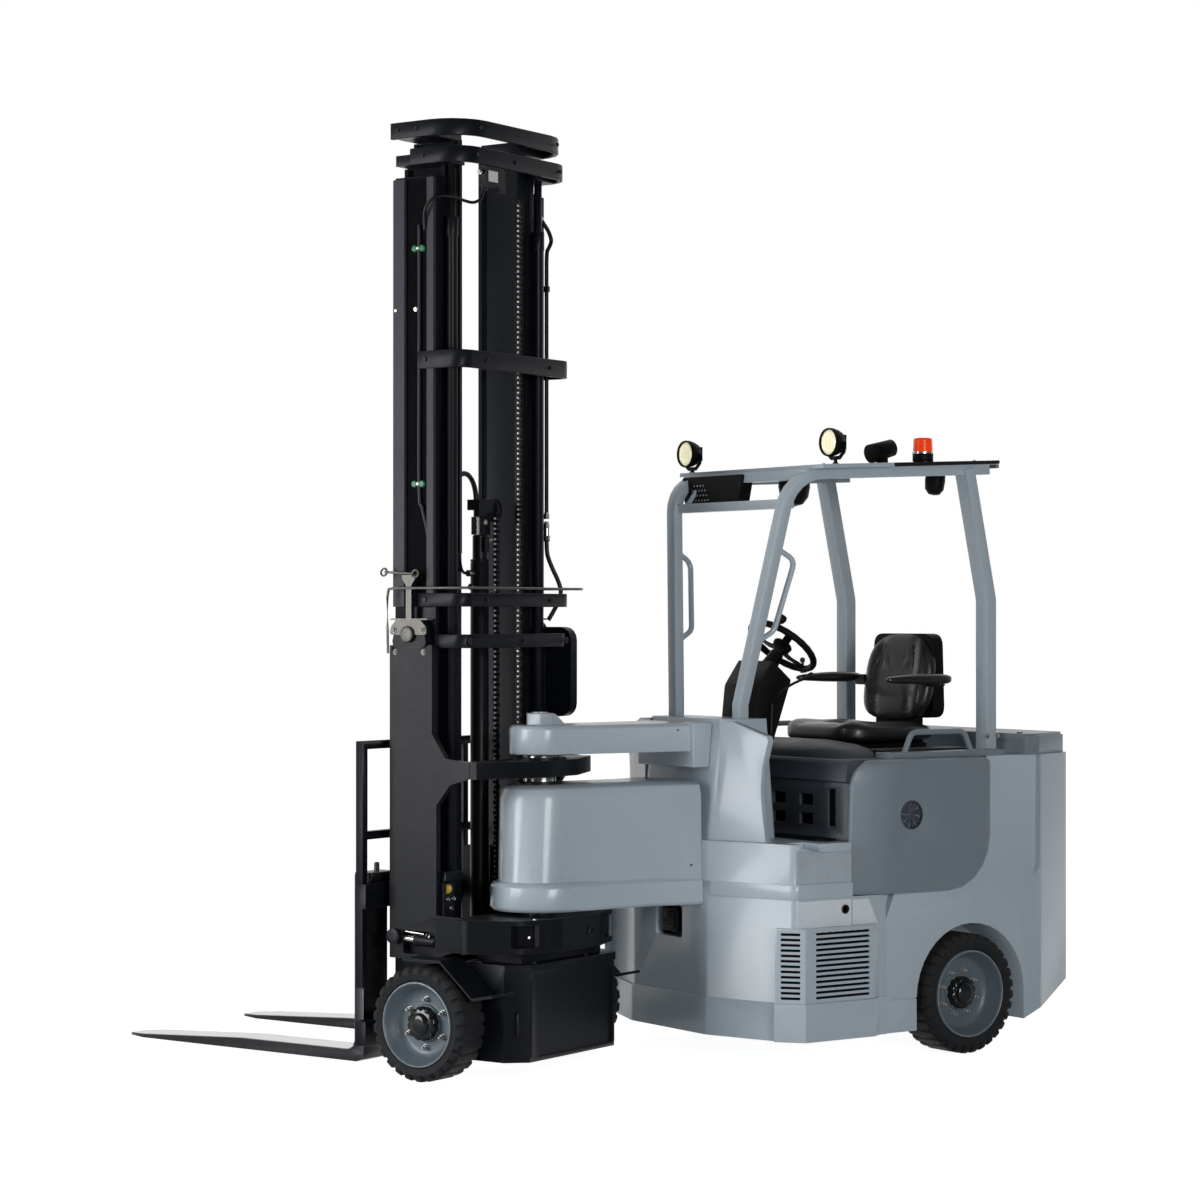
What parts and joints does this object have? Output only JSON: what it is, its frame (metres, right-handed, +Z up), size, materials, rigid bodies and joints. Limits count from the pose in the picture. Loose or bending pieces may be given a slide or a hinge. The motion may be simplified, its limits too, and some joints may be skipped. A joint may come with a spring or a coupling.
{
  "type": "articulated forklift",
  "caption": "Electric articulated narrow-aisle forklift: cab unit on two rear wheels, hinged at a kingpin to a front unit with a three-stage mast, fork carriage and two front wheels.",
  "frame": {"origin": "middle of the bounding box at floor level, with the front unit steered 69 degrees to the right as at rest", "axes": "+X is the rear unit's forward, +Y its left, +Z up"},
  "size_m": [3.1196, 2.3478, 3.47],
  "materials": {
    "body_paint": "satin",
    "cover_paint": "satin",
    "mast_paint": "satin",
    "black_sheet": "matte",
    "bright_steel": "machined",
    "dark_steel": "satin",
    "fork_steel": "worn",
    "tyre_rubber": "matte",
    "rim_paint": "satin",
    "black_plastic": "matte",
    "seat_cover": "grained",
    "lamp_lens": "clear",
    "beacon_lens": "clear",
    "hose_rubber": "matte",
    "chain_steel": "oiled"
  },
  "bodies": {
    "rear_unit": {"front_hull": "body_paint", "rear_hull": "body_paint", "cab_base": "body_paint", "cowl": "body_paint", "pedestal": "black_sheet", "side_cover_left": "cover_paint", "side_cover_right": "cover_paint", "grille_left": "body_paint", "grille_right": "body_paint", "nose": "body_paint", "upper_arm": "body_paint", "kingpin": "bright_steel", "overhead_guard": "body_paint", "roof_plate": "cover_paint", "rear_lid": "body_paint", "work_lamp_left": "lamp_lens", "work_lamp_right": "lamp_lens", "beacon_base": "black_plastic", "alarm": "black_plastic", "beacon": "beacon_lens", "steering_console": "black_plastic", "steering_wheel": "black_plastic", "seat_cushion": "seat_cover", "seat_back": "seat_cover", "armrest_left": "seat_cover", "armrest_right": "seat_cover", "rear_axle": "dark_steel", "ledge_left": "cover_paint", "ledge_right": "cover_paint"},
    "front_unit": {"front_frame": "mast_paint", "front_housing": "mast_paint", "front_axle": "dark_steel"},
    "outer_stage": {"outer_mast": "mast_paint", "outer_belt_top": "mast_paint", "outer_belt_middle": "mast_paint", "outer_belt_low": "mast_paint", "lift_cylinder_left": "mast_paint", "lift_cylinder_right": "mast_paint"},
    "middle_stage": {"middle_mast": "mast_paint", "middle_crosshead": "mast_paint"},
    "inner_stage": {"inner_mast": "mast_paint", "inner_crosshead": "mast_paint", "free_lift_cylinder": "mast_paint"},
    "lift_carriage": {"fork_carriage": "mast_paint", "roller_plate_left": "dark_steel", "roller_plate_right": "dark_steel", "load_backrest": "mast_paint", "fork_left": "fork_steel", "fork_right": "fork_steel"},
    "wheel_rear_left": {"tyre_rear_left": "tyre_rubber", "rim_rear_left": "rim_paint"},
    "wheel_rear_right": {"tyre_rear_right": "tyre_rubber", "rim_rear_right": "rim_paint"},
    "wheel_front_left": {"tyre_front_left": "tyre_rubber", "rim_front_left": "rim_paint"},
    "wheel_front_right": {"tyre_front_right": "tyre_rubber", "rim_front_right": "rim_paint"}
  },
  "joints": [
    {"name": "articulation", "type": "hinge", "parent": "rear_unit", "child": "front_unit", "pos_m": [0.61016, 0.53591, 0.52], "axis": [0, 0, 1], "range_deg": [-21, 159]},
    {"name": "mast_tilt", "type": "hinge", "parent": "front_unit", "child": "outer_stage", "pos_m": [0.72412, 0.23903, 1.6], "axis": [-0.9336, -0.3584, 0], "range_deg": [-1, 4]},
    {"name": "mast_lift", "type": "slide", "parent": "outer_stage", "child": "middle_stage", "axis": [0, 0, 1], "range_m": [0, 2.1]},
    {"name": "inner_lift", "type": "slide", "parent": "middle_stage", "child": "inner_stage", "axis": [0, 0, 1], "range_m": [0, 2.1]},
    {"name": "carriage_lift", "type": "slide", "parent": "inner_stage", "child": "lift_carriage", "axis": [0, 0, 1], "range_m": [0, 2]},
    {"name": "rear_left_spin", "type": "hinge", "parent": "rear_unit", "child": "wheel_rear_left", "pos_m": [-0.95984, 1.04691, 0.2285], "axis": [0, 1, 0], "continuous": true},
    {"name": "rear_right_spin", "type": "hinge", "parent": "rear_unit", "child": "wheel_rear_right", "pos_m": [-0.95984, 0.02491, 0.2285], "axis": [0, 1, 0], "continuous": true},
    {"name": "front_left_spin", "type": "hinge", "parent": "front_unit", "child": "wheel_front_left", "pos_m": [1.07611, 0.52196, 0.2065], "axis": [0.9336, 0.3584, 0], "continuous": true},
    {"name": "front_right_spin", "type": "hinge", "parent": "front_unit", "child": "wheel_front_right", "pos_m": [0.27323, 0.21377, 0.2065], "axis": [0.9336, 0.3584, 0], "continuous": true}
  ],
  "couplings": [
    {"joint": "inner_lift", "follows": "mast_lift", "ratio": 1}
  ]
}
